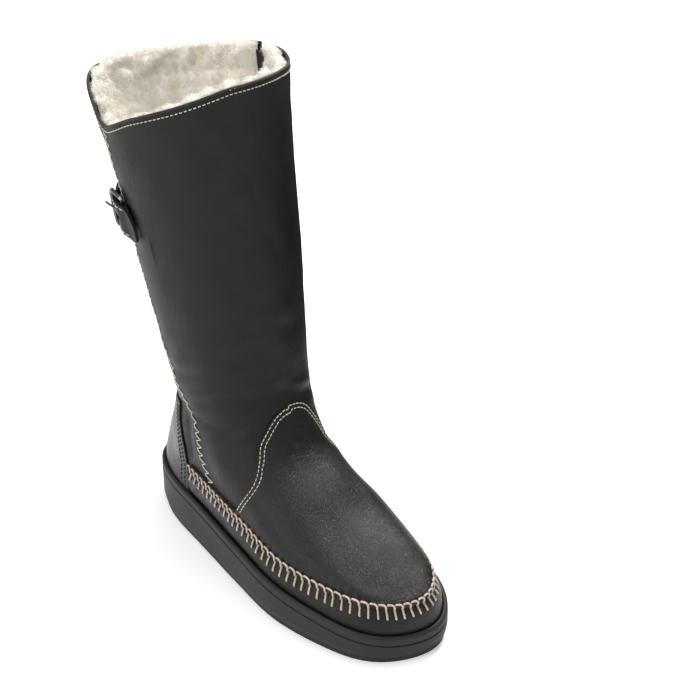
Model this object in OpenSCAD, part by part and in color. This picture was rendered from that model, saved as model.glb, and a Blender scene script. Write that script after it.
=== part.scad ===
// Tall shearling-lined moccasin boot for the right foot, with a side zip and a back strap.
// Millimetres. +Z up, toe towards -Y, heel towards +Y, zip (inner) side +X, buckle side -X.

/* [Boot] */
// overall length of the rubber sole
sole_length = 290; // [240:1:310]
// extra width of the sole at the ball, each side
ball_extra = 0; // [-4:0.5:4]
// height of the shaft's front edge above the floor
shaft_height = 349; // [345:0.5:350]
// how far the outer side of the shaft's edge dips
edge_dip = 33; // [10:1:40]

/* [Leather] */
// leather thickness
leather_t = 1.6; // [1.2:0.1:2.2]
// shearling pile thickness
pile_t = 6.6; // [4:0.1:7]
// width of the band above the sole, at the toe
apron_inset = 11.3; // [8:0.1:14]

/* [Sole] */
// sole height at the heel
heel_height = 37; // [34:0.5:40]
// sole height under the arch
waist_height = 33; // [30:0.5:35]
// sole height at the toe
toe_height = 19; // [17:0.5:22]
// rubber wall thickness of the cup
cup_wall = 3.6; // [3:0.1:4]
// depth of the line around the sole's edge
line_depth = 0.8; // [0.4:0.1:1.2]

/* [Zip] */
// width of the slot between the leather edges
zip_slot = 12; // [11:0.5:14]
// pitch of the teeth
tooth_pitch = 3; // [2.5:0.1:4]
// lowest point the slider reaches
zip_low = 158; // [150:1:200]

/* [Strap] */
// strap width
strap_w = 22; // [18:0.5:26]
// strap thickness
strap_t = 2.2; // [1.6:0.1:3]

/* [Thread] */
// radius of the hand-sewn thread
whip_r = 0.75; // [0.5:0.05:1]
// spacing of the hand-sewn stitches
whip_pitch = 6.4; // [5:0.1:9]
// radius of the machine thread
thread_r = 0.4; // [0.3:0.05:0.6]

/* [View] */
// node to draw

/* [Hidden] */
$fn = 24;
LH = sole_length / 2;
ks = LH / 145;
// centre of the box, taken off so the origin sits under it
ox = -3.38;
oy = 9.6;

// ---- smooth tables ----
function cr(a, b, c, d, u) = 0.5 * (2 * b + (c - a) * u + (2 * a - 5 * b + 4 * c - d) * u * u
    + (3 * b - a - 3 * c + d) * u * u * u);
function smooth(t, k = 8) = let (n = len(t)) concat(
    [for (i = [0 : n - 2], j = [0 : k - 1]) cr(t[max(i - 1, 0)], t[i], t[i + 1],
        t[min(i + 2, n - 1)], j / k)], [t[n - 1]]);
function clampf(x, a, b) = max(a, min(b, x));
function sstep(a, b, x) = let (u = clampf((x - a) / (b - a), 0, 1)) u * u * (3 - 2 * u);
function mixf(a, b, u) = a + (b - a) * u;
function unit(v) = v / max(norm(v), 1e-9);

// outline: half width factor against the angle from the heel
T_hw = smooth([[0, 62], [23.5, 58.5], [43.6, 52.3], [67.7, 45.2], [90, 48.6],
    [110.2, 58.3 + ball_extra], [130.9, 63.6 + ball_extra], [153.7, 72.5], [180, 77.7]]);
// centre line of the sole
T_xc = smooth([[-145, 8.2], [-130, 4.3], [-95, 2.6], [-50, 0.6], [0, -2.7], [55, -4.3],
    [105, -3.8], [145, -3]]);
// front profile: y against z, from the toe seam up the instep and the shin
T_d = smooth([[34, -129], [43, -121], [54, -97], [65, -67], [77, -45], [90, -22], [103, -9],
    [118, 0], [140, 8], [200, 15.7], [260, 22], [320, 26.2], [356, 27.6]]);
T_dz = smooth([[-134, 39], [-128, 41.2], [-121, 44.2], [-97, 54], [-67, 65], [-45, 77], [-22, 90], [-9, 103],
    [0, 118], [8, 140]]);
// back profile
T_b = smooth([[14, 139.2], [38, 139.2], [50, 137.2], [70, 128], [90, 118], [110, 110], [130, 110],
    [160, 115], [210, 126.3], [270, 142.5], [320, 159], [356, 169.6]]);
// half width of the shaft
T_w = [[34, 44], [60, 49], [90, 46], [110, 44.5], [130, 48], [150, 51], [356, 67.4]];
// side offset of the shaft
T_x = [[34, -3], [60, -3], [110, 0], [356, -6]];
// height of the apron seam
T_s = smooth([[-145, 38], [-60, 44.4], [0, 55], [90, 58.5], [150, 58.5]]);

function hw(a) = lookup(a, T_hw);
function dorsal(z) = lookup(z, T_d);
function backl(z) = lookup(z, T_b);
function seam_z(y) = lookup(y, T_s);
function sole_z(y) = let (u = y / 145) waist_height + (heel_height - toe_height) / 2 * u
    + ((heel_height + toe_height) / 2 - waist_height) * u * u;
function xc0(y) = lookup(y, T_xc);
function side(t) = t <= 180 ? -1 : 1;
function half(t) = t <= 180 ? t : 360 - t;
function out0(t) = let (a = half(t), y = 145 * cos(a)) [xc0(y) + side(t) * hw(a) * sin(a), y];
function outline(t, inset) = let (p = out0(t), g = unit(out0(t + 0.5) - out0(t - 0.5)),
    n = [-g[1], g[0]], s = n * (p - [xc0(p[1] * 0.6), p[1] * 0.6]) > 0 ? 1 : -1)
    p - n * s * inset;

// ---- the upper's outer surface: half width at a point of the side view ----
function wlow(y, z) = let (yb = backl(z),
    q = y > 40 ? 40 + (y - 40) * 105 / (yb - 40)
        : y < -20 ? -20 + (y + 20) * 125 / (125 - apron_inset) : y,
    yy = clampf(q, -145, 145), a = acos(yy / 145),
    ins = yy < 0 ? mixf(5.8, apron_inset, -yy / 145) : mixf(5.8, 7, yy / 145) - 1.6 * (1 - sstep(36, 56, z)))
    hw(a) * sin(a) * (1 - ins / 46);
function wshaft(y, z) = let (d = dorsal(z), b = backl(z), m = clampf((y - d) / (b - d), 0, 1) * 2 - 1)
    lookup(z, T_w) * sqrt(max(0, 1 - m * m));
function warch(y, z) = let (zt = y < 5 ? lookup(y, T_dz) : 130 + (y - 5) * 8, zs = seam_z(y),
    q = clampf((z - zs) / max(zt - zs, 0.001), 0, 1)) wlow(y, z) * pow(1 - pow(q, 2.2), 1 / 2.2);
function wide(y, z) = let (b = sstep(45, 120, z))
    (b < 1 ? (1 - b) * warch(y, z) : 0) + (b > 0 ? b * wshaft(y, z) : 0);
function xmid(y, z) = let (b = sstep(45, 120, z)) (1 - b) * xc0(y) + b * lookup(z, T_x);
// the outer side flares a little at the back of the top edge
function flare(y, z) = let (d = dorsal(z), b = backl(z), m = (y - d) / (b - d))
    3.6 * sstep(285, 350, z) * sstep(0.5, 0.74, m) * (1 - sstep(0.88, 1, m));
function skin(s, y, z) = [xmid(y, z) + s * (wide(y, z) + (s < 0 && z > 285 ? flare(y, z) : 0)), y, z];
// ring angle 0 at the front, 180 at the back; negative on the outer side
function ringy(a, z) = let (d = dorsal(z), b = backl(z)) d + (b - d) * (1 - cos(a)) / 2;
function angley(y, z) = let (d = dorsal(z), b = backl(z)) acos(clampf(1 - 2 * (y - d) / (b - d), -1, 1));
function ring(a, z) = skin(a < 0 ? -1 : 1, ringy(abs(a), z), z);
function ringn(a, z) = unit(cross(ring(a + 1, z) - ring(a - 1, z), ring(a, z + 1) - ring(a, z - 1)));
// a point off the skin: o above it
function off(a, z, o) = ring(a, z) + o * ringn(a, z);

// top edge height against the ring angle
T_rim = smooth([[-180, 338], [-155, 339], [-130, 336], [-112, 326], [-98, 348 - edge_dip], [-70, 327], [-45, 336],
    [-15, 346.5], [0, 348.6], [25, 349], [50, 347], [90, 347], [120, 342], [150, 338.5], [180, 338]]);
function rim(a) = lookup(a, T_rim) - 349 + shaft_height;

// ---- seams, in the side view ----
// lowest edge of the front panel along the vamp, against the share of the way to its side edge
T_vl = smooth([[0, 121.5], [0.15, 120.3], [0.3, 113], [0.38, 98], [0.46, 88], [0.58, 78],
    [0.7, 68], [0.82, 60.5], [0.9, 57.6], [1, 58.2]]);
T_vm = smooth([[0, 121.5], [0.2, 121.5], [0.42, 116], [0.55, 102], [0.62, 92], [0.72, 80],
    [0.84, 66], [0.93, 58], [1, 57.8]]);
T_zig = smooth([[30, 36], [57, 36], [70, 41.5], [82, 46.5], [96, 47.5], [104, 50], [112, 55.5], [125, 63],
    [140, 69], [200, 87], [260, 96.5], [320, 104], [356, 109]]);
function zig(z) = lookup(z, T_zig);
// the zip's straight line, then its foot
function zipc(z) = z > 145 ? 99.5 - (343 - z) * 0.222 : lookup(z, [[30, 41], [60, 40.5], [75, 38.5],
    [97, 39], [120, 46], [145, 55.5]]);
function zip_front(z) = zipc(z) - zip_slot / 2;
function zip_rear(z) = zipc(z) + zip_slot / 2;

// ---- solids from grids ----
// a and b are the outer and inner grids, rows of equal length
module slab(a, b, turn = false) {
    n = len(a);
    m = len(a[0]);
    pts = concat([for (r = a) each r], [for (r = b) each r]);
    k = n * m;
    f = concat(
        [for (i = [0 : n - 2], j = [0 : m - 2]) each [[i * m + j, (i + 1) * m + j, (i + 1) * m + j + 1],
            [i * m + j, (i + 1) * m + j + 1, i * m + j + 1]]],
        [for (i = [0 : n - 2], j = [0 : m - 2]) each [[k + i * m + j, k + (i + 1) * m + j + 1,
            k + (i + 1) * m + j], [k + i * m + j, k + i * m + j + 1, k + (i + 1) * m + j + 1]]],
        [for (j = [0 : m - 2]) each [[j, j + 1, k + j + 1], [j, k + j + 1, k + j]]],
        [for (j = [0 : m - 2]) let (q = (n - 1) * m + j) each [[q, k + q + 1, q + 1], [q, k + q, k + q + 1]]],
        [for (i = [0 : n - 2]) let (q = i * m) each [[q, k + q + m, q + m], [q, k + q, k + q + m]]],
        [for (i = [0 : n - 2]) let (q = i * m + m - 1) each [[q, q + m, k + q + m], [q, k + q + m, k + q]]]);
    polyhedron(points = [for (p = pts) p - [ox, oy, 0]], faces = [for (t = f) turn ? t : [t[0], t[2], t[1]]],
        convexity = 8);
}
// flat lid over a ring of m points from k on, in strips across it
function lid(m, k, up) = let (f = concat([for (j = [0 : m / 2 - 2]) [j, m - j - 1, j + 1]],
    [for (j = [1 : m / 2 - 1]) [j, m - j, m - j - 1]])) [for (t = f) up ? [k + t[0], k + t[2], k + t[1]]
    : [k + t[0], k + t[1], k + t[2]]];
// closed tube from rings of equal length
module tube(r) {
    n = len(r);
    m = len(r[0]);
    pts = [for (q = r) each q];
    f = concat(
        [for (i = [0 : n - 2], j = [0 : m - 1]) let (e = (j + 1) % m)
            each [[i * m + j, i * m + e, (i + 1) * m + e], [i * m + j, (i + 1) * m + e, (i + 1) * m + j]]],
        lid(m, 0, false), lid(m, (n - 1) * m, true));
    polyhedron(points = [for (p = pts) p - [ox, oy, 0]], faces = [for (t = f) [t[0], t[2], t[1]]],
        convexity = 8);
}
// straight round bar between two points
module bar(p, q, r) {
    v = q - p;
    l = norm(v);
    translate(p - [ox, oy, 0])
        rotate([0, acos(clampf(v[2] / l, -1, 1)), atan2(v[1], v[0])])
            cylinder(h = l, r = r, $fn = 16);
}
// frame of axes at a point: o origin, x and z directions
module pose(o, x, z) {
    zz = unit(z);
    xx = unit(x - zz * (x * zz));
    yy = cross(zz, xx);
    multmatrix([[xx[0], yy[0], zz[0], o[0] - ox], [xx[1], yy[1], zz[1], o[1] - oy],
        [xx[2], yy[2], zz[2], o[2]], [0, 0, 0, 1]]) children();
}

// ---- sole ----
NT = 112;
function loop(inset, f) = [for (i = [0 : NT - 1]) let (p = outline(i * 360 / NT, inset)) [p[0], p[1], f(p[1])]];
module outsole() color([0.03, 0.03, 0.03]) translate([-ox, -oy, 0]) linear_extrude(4) difference() {
    polygon([for (i = [0 : 119]) outline(i * 3, 1.8)]);
    for (y = [-116 : 12 : 112]) translate([xc0(y), y]) square([2 * hw(acos(y / 145)) * sin(acos(y / 145)) - 16, 2.2],
        center = true);
}
module cupsole() color([0.035, 0.035, 0.035]) tube([
    loop(1.3, function (y) 4.1),
    loop(0.5, function (y) 5.6),
    loop(0, function (y) 8.5),
    loop(0, function (y) sole_z(y) - 6.9),
    loop(line_depth, function (y) sole_z(y) - 6.5),
    loop(line_depth, function (y) sole_z(y) - 5.9),
    loop(0, function (y) sole_z(y) - 5.5),
    loop(0.2, function (y) sole_z(y) - 1.4),
    loop(0.9, function (y) sole_z(y) - 0.4),
    loop(1.7, function (y) sole_z(y)),
    loop(cup_wall - 0.9, function (y) sole_z(y)),
    loop(cup_wall, function (y) sole_z(y) - 0.9),
    loop(cup_wall, function (y) 8)]);
module foam_filler() color([0.2, 0.2, 0.19]) tube([
    loop(cup_wall + 0.3, function (y) 8.1),
    loop(cup_wall + 0.3, function (y) sole_z(y) - 8.7)]);
module shank() color([0.5, 0.5, 0.52]) translate([-ox, -oy, 0])
    translate([-3.5, 22, (sole_z(22) + sole_z(97)) / 2 - 7.85]) rotate([atan((sole_z(97) - sole_z(22)) / 75), 0, 0])
        translate([-7, 0, -0.5 - (sole_z(97) - sole_z(22)) / 2]) cube([14, 75, 1]);
module insole_board() color([0.45, 0.36, 0.25]) tube([
    loop(6.2, function (y) sole_z(y) - 6.9),
    loop(6.2, function (y) sole_z(y) - 4.9)]);
module footbed() color([0.85, 0.8, 0.7]) tube([
    loop(6.6, function (y) sole_z(y) - 4.8),
    loop(6.6, function (y) sole_z(y) + 1.6),
    loop(8, function (y) sole_z(y) + 3)]);

// ---- apron seam ----
function seam_y(t) = let (y = 145 * cos(half(t))) y < -20 ? -20 + (y + 20) * (125 - apron_inset) / 125
    : y > 40 ? 40 + (y - 40) * (backl(58) - 40) / 105 : y;
function seam(t) = let (y = seam_y(t)) skin(side(t), y, seam_z(y));
function seam_t(t) = unit(seam(t + 0.7) - seam(t - 0.7));
function seam_n(t) = let (g = seam_t(t)) unit([-g[1], g[0], 0]) * (t <= 180 ? 1 : 1) * -1;
function ridge_d(t) = unit(0.75 * seam_n(t) + [0, 0, 0.66]);
function ridge_p(t) = unit(0.66 * seam_n(t) - [0, 0, 0.75]);
APRON_A = 61;
APRON_B = 283;
function feather(t, z0) = let (p = outline(t, cup_wall + 0.3)) [p[0], p[1], sole_z(p[1]) + z0];
function apron_out(t, h) = let (f = feather(t, 0.3), m = seam(t) + ridge_p(t) * 1.5)
    f + (m - f) * h + seam_n(t) * 1.9 * 4 * h * (1 - h);
module apron() color([0.05, 0.05, 0.05]) {
    ts = [for (i = [0 : 48]) mixf(APRON_A, APRON_B, i / 48)];
    hs = [0, 0.2, 0.45, 0.7, 0.88];
    slab([for (t = ts) concat([feather(t, -6)], [for (h = hs) apron_out(t, h)],
            [seam(t) + ridge_p(t) * 1.5, seam(t) + ridge_p(t) * 1.4 + ridge_d(t) * 2.4])],
        [for (t = ts) concat([feather(t, -6) - seam_n(t) * leather_t],
            [for (h = hs) apron_out(t, h) - unit(seam_n(t) + [0, 0, 0.3]) * leather_t],
            [seam(t) + ridge_p(t) * 0.15 - ridge_d(t) * 1.1, seam(t) + ridge_p(t) * 0.15 + ridge_d(t) * 2.4])]);
}

// ---- vamp ----
// rear edge in the side view: y against the share of the arch's height
T_vel = smooth([[0, 2], [0.06, -0.5], [0.33, -7], [0.55, -10], [0.66, -8.5], [0.72, -4.5], [0.76, -1.8],
    [0.82, -0.2], [0.92, 1.3], [1, 3]]);
T_vem = smooth([[0, 9.5], [0.05, 8.5], [0.2, 3], [0.46, -4], [0.57, -5], [0.65, -3], [0.7, 1.6],
    [0.76, 4], [0.85, 4.9], [0.93, 4.4], [1, 3]]);
function arch_top(y) = lookup(y, T_dz);
// g: 0 at the toe seam, 1 at the rear edge; f: -90 outer seam, 0 ridge, 90 inner seam
function vamp_y(g, f) = let (c = cos(f), e = lookup(c, f < 0 ? T_vel : T_vem)) mixf(-133, e, 1 - pow(1 - g, 1.7));
function vamp_s(g, f) = let (y = vamp_y(g, f), z = seam_z(y) + (arch_top(y) - seam_z(y)) * cos(f))
    skin(f < 0 ? -1 : 1, y, z);
function vamp_n(g, f) = let (f1 = clampf(f, -85, 85), g1 = clampf(g, 0.04, 0.985))
    unit(cross(vamp_s(g1 + 0.012, f1) - vamp_s(g1 - 0.012, f1), vamp_s(g1, f1 - 3) - vamp_s(g1, f1 + 3)));
function vamp_o(g, f, o) = vamp_s(g, f) + vamp_n(g, f) * o;
VG = [for (i = [0 : 22]) 0.012 + 0.988 * i / 22];
VF = [for (j = [0 : 28]) -90 + j * 180 / 28];
module vamp() color([0.055, 0.055, 0.055]) slab(
    [for (g = VG) [for (f = VF) vamp_o(g, f, leather_t - 0.1)]],
    [for (g = VG) [for (f = VF) vamp_o(g, f, -0.1)]], true);
module toe_puff() color([0.75, 0.72, 0.65]) slab(
    [for (i = [0 : 6]) [for (j = [0 : 12]) vamp_o(0.06 + 0.03 * i, -75 + 12.5 * j, -0.4)]],
    [for (i = [0 : 6]) [for (j = [0 : 12]) vamp_o(0.06 + 0.03 * i, -75 + 12.5 * j, -1.4)]], true);
// foot lining: arch sections with straight legs down to the footbed
function sock(y, k, d) = let (s = k < 0 ? -1 : 1, q = abs(k), zs = seam_z(y), zt = arch_top(y), zb = sole_z(y) + 3.8,
    c = cos(90 * min(1, q / 0.72)), w = warch(y, zs) - d, z = q <= 0.72 ? zs + (zt - d - zs) * c
    : mixf(zs, zb, (q - 0.72) / 0.28), x = q <= 0.72 ? w * pow(1 - pow(c, 2.2), 1 / 2.2) : w) [xc0(y) + s * x, y, z];
SY = [for (i = [0 : 8]) -110 + i * 10.2];
module lining_foot() color([0.9, 0.86, 0.77]) slab(
    [for (y = SY) [for (j = [0 : 18]) sock(y, -1 + j / 9, 2.6)]],
    [for (y = SY) [for (j = [0 : 18]) sock(y, -1 + j / 9, 2.4 + pile_t)]], true);

// ---- shaft ----
function edge_l(z) = angley(zig(z), z);
function edge_m(z) = angley(zip_front(z), z);
function edge_r(z) = angley(zip_rear(z), z);
// u: -1 outer side edge, 0 front, 1 inner side edge
function front_z(u, v, lap, up) = let (q = abs(u), b = (u < 0 ? lookup(q, T_vl) : lookup(q, T_vm)) - lap * (1 - sstep(0.6, 0.9, q)),
    t = rim(u < 0 ? u * edge_l(322) : u * edge_m(345)) + up) mixf(b, t, pow(v, 1.3));
function front_a(u, z, trim) = u < 0 ? u * (edge_l(z) - trim) : u * (edge_m(z) - trim);
module shaft_front() color([0.05, 0.05, 0.052]) {
    us = [for (i = [0 : 32]) -1 + i / 16];
    vs = [for (j = [0 : 18]) j / 18];
    slab([for (u = us) [for (v = vs) let (z = front_z(u, v, 7, -0.2)) off(front_a(u, z, 0), z, -0.2)]],
        [for (u = us) [for (v = vs) let (z = front_z(u, v, 7, -0.2)) off(front_a(u, z, 0), z, -0.2 - leather_t)]]);
}
// u: 0 outer side edge, 1 inner side edge, round the back
function back_b(u, z, trim) = mixf(edge_l(z) + trim, 360 - edge_r(z) - trim, u);
function back_ring(b, z, o) = off(b <= 180 ? -b : 360 - b, z, o);
function back_z(u, v, zb, up) = let (b = back_b(u, 330, 0), t = rim(b <= 180 ? -b : 360 - b) + up,
    y = ringy(back_b(u, 50, 0), 50)) mixf(zb(u, y), t, pow(v, 1.3));
function back_foot(u, y) = u < 0.5 ? mixf(58.6, 31, sstep(69, 78, y)) : 31;
module shaft_back() color([0.05, 0.05, 0.052]) {
    us = [for (i = [0 : 30]) i / 30];
    vs = [for (j = [0 : 18]) j / 18];
    slab([for (u = us) [for (v = vs) let (z = back_z(u, v, function (u, y) back_foot(u, y), -0.2))
            back_ring(back_b(u, z, 0.4), z, -0.2)]],
        [for (u = us) [for (v = vs) let (z = back_z(u, v, function (u, y) back_foot(u, y), -0.2))
            back_ring(back_b(u, z, 0.4), z, -0.2 - leather_t)]], true);
}
function counter_l(z) = angley(lookup(z, [[30, 71], [60, 72.5], [100, 75], [111, 75]]), z);
function counter_m(z) = angley(lookup(z, [[30, 79], [56, 80], [77, 82], [95, 90], [111, 97]]), z);
function counter_top(u) = 111 - 5 * sin(180 * u);
function counter_p(u, v, o) = let (z = mixf(31, counter_top(u), v), b = mixf(counter_l(z), 360 - counter_m(z), u))
    back_ring(b, z, o);
module heel_counter() color([0.05, 0.05, 0.05]) slab(
    [for (i = [0 : 22]) [for (j = [0 : 9]) counter_p(i / 22, j / 9, 1.4)]],
    [for (i = [0 : 22]) [for (j = [0 : 9]) counter_p(i / 22, j / 9, 0)]], true);
module heel_stiffener() color([0.8, 0.78, 0.7]) slab(
    [for (i = [0 : 16]) [for (j = [0 : 5]) counter_p(0.04 + 0.92 * i / 16, 0.16 + 0.55 * j / 5, -2)]],
    [for (i = [0 : 16]) [for (j = [0 : 5]) counter_p(0.04 + 0.92 * i / 16, 0.16 + 0.55 * j / 5, -3)]], true);
module lining_front() color([0.9, 0.86, 0.77]) {
    us = [for (i = [0 : 22]) -1 + i / 11];
    vs = [for (j = [0 : 12]) j / 12];
    slab([for (u = us) [for (v = vs) let (z = front_z(u, v, -3, 1.5)) off(front_a(u, z, 1.6), z, -3.3)]],
        [for (u = us) [for (v = vs) let (z = front_z(u, v, -3, 1.5)) off(front_a(u, z, 1.6), z, -2.7 - pile_t)]]);
}
module lining_back() color([0.9, 0.86, 0.77]) {
    us = [for (i = [0 : 22]) i / 22];
    vs = [for (j = [0 : 12]) j / 12];
    slab([for (u = us) [for (v = vs) let (z = back_z(u, v, function (u, y) 44, 1.5)) back_ring(back_b(u, z, 1.6), z, -3.3)]],
        [for (u = us) [for (v = vs) let (z = back_z(u, v, function (u, y) 44, 1.5))
            back_ring(back_b(u, z, 1.6), z, -2.7 - pile_t)]], true);
}
// folded edge: runs from the zip's front edge round the front, outer side and back to its rear edge
module edge_fold() color([0.09, 0.085, 0.08]) {
    a0 = edge_m(345) - 0.5;
    a1 = edge_r(345) + 0.5 - 360;
    sec = [[-2, 0], [-2, 1], [-1.3, 1.7], [-0.4, 1.7], [0.3, 1], [0.3, 0]];
    tube([for (i = [0 : 56]) let (w = mixf(a0, a1, i / 56), a = w < -180 ? w + 360 : w, z = rim(a))
        [for (k = [len(sec) - 1 : -1 : 0]) off(a, z + sec[k][1] * 0.98, sec[k][0])]]);
}

// ---- zip ----
Z_TOP = 341;
Z_KINK = 150;
Z_FOOT = 62;
function zip_a(z) = angley(zipc(z), z);
function zip_on(z) = off(zip_a(z), z, -2.1);
ZP = zip_on(Z_TOP);
ZK = zip_on(Z_KINK);
function chain(z) = z >= Z_KINK ? ZK + (ZP - ZK) * (z - Z_KINK) / (Z_TOP - Z_KINK) : zip_on(z);
function zip_n(z) = ringn(zip_a(z), z);
function zip_up(z) = unit(chain(z + 1.5) - chain(z - 1.5));
function zip_fwd(z) = unit(cross(zip_n(z), zip_up(z)));
ZSLIDE = unit(ZP - ZK);
function zip_m(z) = z >= Z_KINK ? zip_n(Z_SL) : unit(mixf(zip_n(z), zip_n(Z_SL), sstep(Z_KINK - 30, Z_KINK, z)));
function zip_w(z, d) = chain(z) - unit(cross(zip_m(z), zip_up(z))) * d;
function tape_mid(z, d) = let (y = zipc(z) + d, a = angley(y, z)) off(a, z, -2.12);
module zip_tape(s) {
    // s: -1 in front of the chain, 1 behind it
    zs = [for (i = [0 : 24]) mixf(Z_FOOT, Z_TOP, i / 24)];
    slab([for (z = zs) let (n = zip_m(z), o = tape_mid(z, s * 10))
            [zip_w(z, s * 0.6) + n * 0.2, zip_w(z, s * 5.2) + n * 0.2, o + n * 0.22]],
        [for (z = zs) let (n = zip_m(z), o = tape_mid(z, s * 10))
            [zip_w(z, s * 0.6) - n * 0.2, zip_w(z, s * 5.2) - n * 0.2, o - n * 0.22]], s > 0);
}
module zip_tape_front() color([0.02, 0.02, 0.02]) zip_tape(-1);
module zip_tape_rear() color([0.02, 0.02, 0.02]) zip_tape(1);
module zip_teeth(s) for (i = [0 : floor((Z_TOP - Z_FOOT - 4) / tooth_pitch)]) {
    z = Z_FOOT + 2 + i * tooth_pitch + (s > 0 ? tooth_pitch / 2 : 0);
    pose(chain(z), zip_w(z, s) - chain(z), zip_m(z)) translate([0.4, -0.85, -0.9]) cube([2.5, 1.7, 1.8]);
}
module zip_teeth_front() color([0.03, 0.03, 0.03]) zip_teeth(-1);
module zip_teeth_rear() color([0.03, 0.03, 0.03]) zip_teeth(1);
module zip_top_stops() color([0.2, 0.2, 0.2]) for (s = [-1, 1])
    pose(chain(Z_TOP + 1.8), [0, s, 0], zip_n(Z_TOP)) translate([0.4, -0.9, -0.9]) cube([2.8, 1.8, 1.8]);
module zip_bottom_stop() color([0.2, 0.2, 0.2]) pose(chain(Z_FOOT - 1), [0, 1, 0], zip_n(Z_FOOT))
    translate([-3, -1, -1]) cube([6, 2, 2]);
module zip_guard() color([0.06, 0.06, 0.06]) {
    zs = [for (i = [0 : 14]) mixf(64, 342, i / 14)];
    slab([for (z = zs) [for (d = [-6.2, 0, 6.2]) let (a = angley(zipc(z) + d, z)) off(a, z, -5.4)]],
        [for (z = zs) [for (d = [-6.2, 0, 6.2]) let (a = angley(zipc(z) + d, z)) off(a, z, -6.6)]], true);
}
Z_SL = 335;
module at_slider() pose(chain(Z_SL), -zip_fwd(Z_SL), zip_n(Z_SL)) children();
module zip_slider() color([0.06, 0.06, 0.065]) at_slider() {
    translate([-4.5, -5.5, 1.2]) cube([9, 11, 1]);
    translate([-4.5, -5.5, -2.2]) cube([9, 11, 1]);
    for (s = [-1, 1]) {
        translate([s * 4 - 0.5, -5.5, 0.75]) cube([1, 11, 0.6]);
        translate([s * 4 - 0.5, -5.5, -1.35]) cube([1, 11, 0.6]);
        translate([s * 1.55 - 0.45, -2.2, 2.1]) cube([0.9, 4.4, 2.6]);
    }
    translate([-0.2, -5.5, -1.3]) cube([0.4, 11, 2.6]);
    translate([-1.9, 0, 3.6]) rotate([0, 90, 0]) cylinder(h = 3.8, r = 0.6);
}
PULL_S = ZSLIDE[2] > 0 ? 1 : -1;
module zip_pull() color([0.06, 0.06, 0.065]) at_slider() difference() {
    union() {
        translate([-0.85, 0, 3.6]) rotate([0, 90, 0]) cylinder(h = 1.7, r = 1.35);
        translate([-0.85, -4, 3]) cube([1.7, 4, 1.2]);
        translate([-2.6, -23, 3]) cube([5.2, 19.4, 1.2]);
        translate([0, -23, 3]) cylinder(h = 1.2, r = 2.6);
    }
    translate([-3, 0, 3.6]) rotate([0, 90, 0]) cylinder(h = 6, r = 0.66);
    translate([0, -22.4, 2]) cylinder(h = 4, r = 1.3);
}

// ---- strap and buckle ----
A_BAR = 106;
A_TIP = 91;
T_sh = smooth([[88, 0.9], [97, 1.5], [101, 3.2], [104, 4.5], [108, 4.5], [112, 3.2], [117, 1.2], [121, 0.7],
    [128, 0.5], [180, 0.5], [262, 0.5]]);
T_sz = smooth([[88, 243], [106, 253], [140, 256], [180, 256], [220, 253], [262, 243.5]]);
function strap_end() = 360 - angley(zip_rear(244) + 1.5, 244);
function strap_z(b) = lookup(b, T_sz);
function strap_hw(b) = b < A_TIP + 7 ? strap_w / 2 * sqrt(max(0.06, 1 - pow((A_TIP + 7 - b) / 7.6, 2))) : strap_w / 2;
function strap_p(b, k, o) = back_ring(b, strap_z(b) + k * strap_hw(b), lookup(b, T_sh) + o);
module strap() color([0.06, 0.06, 0.06]) difference() {
    bs = concat([for (i = [0 : 15]) A_TIP + i * 2], [for (i = [1 : 16]) mixf(A_TIP + 30, strap_end(), i / 16)]);
    slab([for (b = bs) [for (k = [-1 : 0.5 : 1]) strap_p(b, k, 0)]],
        [for (b = bs) [for (k = [-1 : 0.5 : 1]) strap_p(b, k, strap_t)]]);
    at_buckle() translate([-2.6, -1.7, -2]) cube([14.2, 3.4, 14]);
}
module at_buckle() {
    o = back_ring(A_BAR, strap_z(A_BAR), 0);
    n = -1 * unit(cross(back_ring(A_BAR + 1, 253, 0) - back_ring(A_BAR - 1, 253, 0),
        back_ring(A_BAR, 254, 0) - back_ring(A_BAR, 252, 0)));
    nn = n * [-1, 0.3, 0] > 0 ? n : -n;
    pose(o, back_ring(A_BAR + 4, strap_z(A_BAR + 4), 0) - back_ring(A_BAR - 4, strap_z(A_BAR - 4), 0), nn) children();
}
BAR_H = 2.4;
FAR_X = 15;
FAR_H = 5.4;
module buckle_chape() color([0.05, 0.05, 0.05]) {
    for (k = [-1, 1]) {
        at_buckle() translate([0, k * 6.1, BAR_H]) rotate([90, 0, 0]) difference() {
            cylinder(h = 7.4, r = 1.9, center = true);
            cylinder(h = 9, r = 1.07, center = true);
        }
        at_buckle() translate([-9, k * 6.1 - 3.7, 0.55]) rotate([0, 3, 0]) cube([8.2, 7.4, 1.1]);
    }
}
module buckle_frame() color([0.16, 0.16, 0.17]) at_buckle() {
    h = strap_w / 2 + 3.2;
    tilt = atan((FAR_H - BAR_H) / (FAR_X - 4));
    translate([0, 0, BAR_H]) rotate([90, 0, 0]) cylinder(h = 2 * h, r = 1, center = true);
    for (k = [-1, 1]) {
        translate([0, k * h, BAR_H]) sphere(r = 1.75);
        translate([0, k * h, BAR_H]) rotate([0, 90 - tilt, 0]) cylinder(h = norm([FAR_X - 4, FAR_H - BAR_H]), r = 1.5);
        translate([FAR_X - 4, k * h, FAR_H]) sphere(r = 1.75);
        translate([FAR_X - 4, k * h, FAR_H]) rotate([0, 0, -k * 45]) rotate([0, 90, 0]) cylinder(h = 4 * sqrt(2), r = 1.5);
        translate([FAR_X, k * (h - 4), FAR_H]) sphere(r = 1.75);
    }
    translate([FAR_X, 0, FAR_H]) rotate([90, 0, 0]) cylinder(h = 2 * (h - 4), r = 1.5, center = true);
}
PR_A = asin((FAR_H + 1.5 + 0.85 + 0.15 - BAR_H) / FAR_X);
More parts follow.
